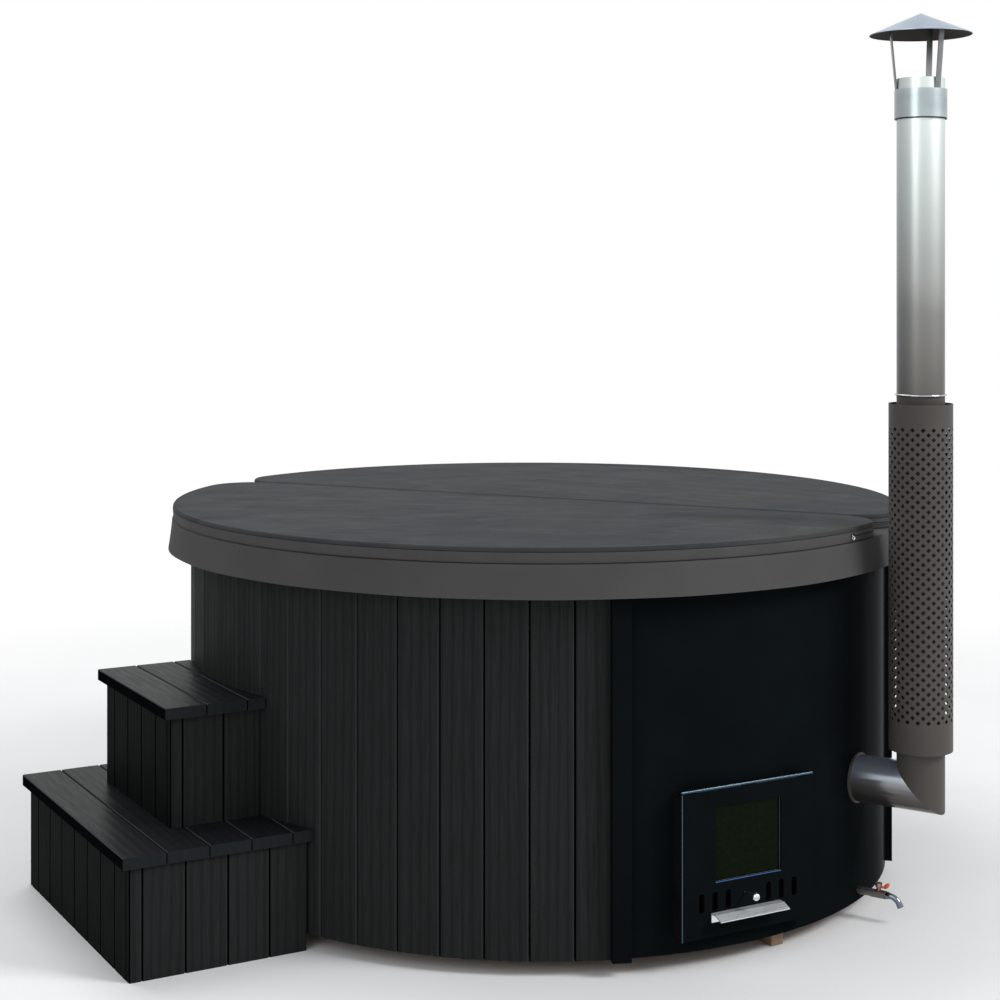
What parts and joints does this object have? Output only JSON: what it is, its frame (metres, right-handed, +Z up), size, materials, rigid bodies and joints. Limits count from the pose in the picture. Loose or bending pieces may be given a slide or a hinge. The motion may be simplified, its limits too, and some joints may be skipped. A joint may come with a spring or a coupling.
{
  "type": "wood-fired hot tub",
  "caption": "Round outdoor bathing tub clad in dark upright boards, with a built-in wood stove, guarded chimney, folding padded cover, side drain and free-standing steps.",
  "frame": {"origin": "on the tub's vertical axis at ground level, on the underside of the middle base timber", "axes": "+Z up, -Y the way the stove door faces, the steps stand at -X"},
  "size_m": [2.4027, 2.1935, 2.316],
  "materials": {
    "bare_timber": "sawn, untreated",
    "dark_boards": "dark stain, satin",
    "tread_boards": "dark oiled, satin",
    "bench_wood": "planed",
    "foam": "closed-cell foam",
    "liner": "smooth",
    "panel_paint": "glossy black enamel",
    "stove_iron": "matte",
    "stainless": "brushed",
    "dull_steel": "dull, heat-tinted",
    "chrome": "polished",
    "seal_rope": "woven glass rope",
    "stove_glass": "heat-proof, sooted",
    "valve_black": "matte",
    "lever_orange": "plastic-coated",
    "cover_sheet": "coated fabric, soft satin",
    "cover_skirt": "coated fabric, matte"
  },
  "bodies": {
    "tub": {"base_timbers": "bare_timber", "floor_deck": "bare_timber", "insulation": "foam", "wall_hoops": "bare_timber", "cladding_boards": "dark_boards", "top_ring": "bare_timber", "liner": "liner", "bench_boards": "bench_wood", "bench_supports": "bench_wood", "stove_fence": "bench_wood", "heater_panel": "panel_paint", "panel_battens": "bare_timber", "panel_bars": "panel_paint", "stove_box": "stove_iron", "stove_grate": "stove_iron", "door_frame": "stove_iron", "hinge_frame_leaf": "stainless", "hinge_pin": "stainless", "flue_side_leg": "stainless", "flue_stub": "stainless", "flue_collar": "dull_steel", "chimney_elbow": "dull_steel", "chimney_pipe_lower": "dull_steel", "chimney_pipe_upper": "stainless", "locking_band": "stainless", "heat_guard": "dull_steel", "guard_spacers": "dull_steel", "cap_sleeve": "stainless", "cap_struts": "stainless", "rain_cap": "stainless", "drain_strainer": "stainless", "drain_pipe": "dull_steel", "valve_body": "valve_black", "drain_spout": "chrome", "lower_step_frame": "bare_timber", "lower_step_boards": "dark_boards", "lower_step_tread": "tread_boards", "upper_step_frame": "bare_timber", "upper_step_boards": "dark_boards", "upper_step_tread": "tread_boards"},
    "cover_back": {"cover_back_core": "foam", "cover_back_sheet": "cover_sheet", "cover_back_skirt": "cover_skirt", "cover_back_pull": "chrome"},
    "cover_front": {"cover_front_core": "foam", "cover_front_sheet": "cover_sheet", "cover_front_skirt": "cover_skirt", "cover_front_pull": "chrome"},
    "stove_door": {"door_plate": "panel_paint", "hinge_door_leaf": "stainless", "door_seals": "seal_rope", "door_glass": "stove_glass", "glass_retainer": "stove_iron", "door_screws": "stainless", "door_handle": "stainless"},
    "air_control": {"air_rod": "stainless", "air_knob": "stainless", "air_baffle": "stove_iron"},
    "drain_valve": {"valve_ball": "chrome", "valve_lever": "lever_orange"}
  },
  "joints": [
    {"name": "cover_lift", "type": "slide", "parent": "tub", "child": "cover_back", "axis": [0, 0, 1], "range_m": [0, 0.3]},
    {"name": "cover_fold", "type": "hinge", "parent": "cover_back", "child": "cover_front", "pos_m": [0, 0, 1.0198], "axis": [-0.5678, 0.8231, 0], "range_deg": [0, 178]},
    {"name": "door_swing", "type": "hinge", "parent": "tub", "child": "stove_door", "pos_m": [0, -1.003, 0.4315], "axis": [-1, 0, 0], "range_deg": [0, 100]},
    {"name": "air_slide", "type": "slide", "parent": "stove_door", "child": "air_control", "axis": [0, 1, 0], "range_m": [0, 0.02]},
    {"name": "drain_lever_turn", "type": "hinge", "parent": "tub", "child": "drain_valve", "pos_m": [0.47468, -0.9276, 0.0677], "axis": [0, 0, 1], "range_deg": [0, 90]}
  ]
}
